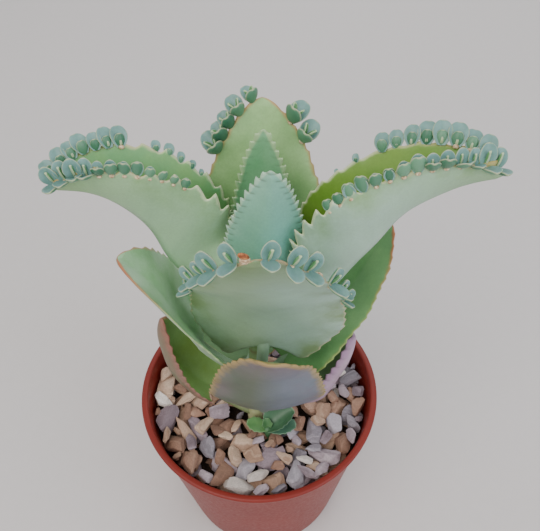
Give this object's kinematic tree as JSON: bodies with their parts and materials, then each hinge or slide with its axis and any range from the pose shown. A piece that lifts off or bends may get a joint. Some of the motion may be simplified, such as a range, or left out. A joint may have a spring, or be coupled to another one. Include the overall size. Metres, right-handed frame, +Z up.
{
  "type": "potted mother of thousands succulent",
  "caption": "Tall leafy succulent with cupped, toothed leaves edged with plantlets, rooted in a round plastic pot topped with stone chips.",
  "frame": {"origin": "centre of the pot's flat underside", "axes": "+Z up along the pot and the stem, -Y towards the front of the plant, +X to the right of someone who faces its front"},
  "size_m": [0.1592, 0.12, 0.255],
  "materials": {
    "pot": "satin moulded plastic",
    "soil": "loose and matt",
    "gravel": "rough broken stone",
    "stem": "smooth with leaf scars",
    "leaf": "waxy satin",
    "offset": "waxy satin"
  },
  "bodies": {
    "root": {"pot": "pot", "potting_soil": "soil", "gravel_bed": "gravel", "main_stem": "stem", "leaf_back_upper": "leaf", "leaf_front_upper": "leaf", "leaf_left_arching": "leaf", "leaf_right_arching": "leaf", "leaf_back_lower": "leaf", "leaf_front_lower": "leaf", "leaf_left_middle": "leaf", "leaf_right_middle": "leaf", "leaf_left_lowest": "leaf", "leaf_right_lowest": "leaf", "leaf_back_young": "leaf", "leaf_front_young": "leaf", "rooted_offset": "offset"}
  },
  "joints": []
}
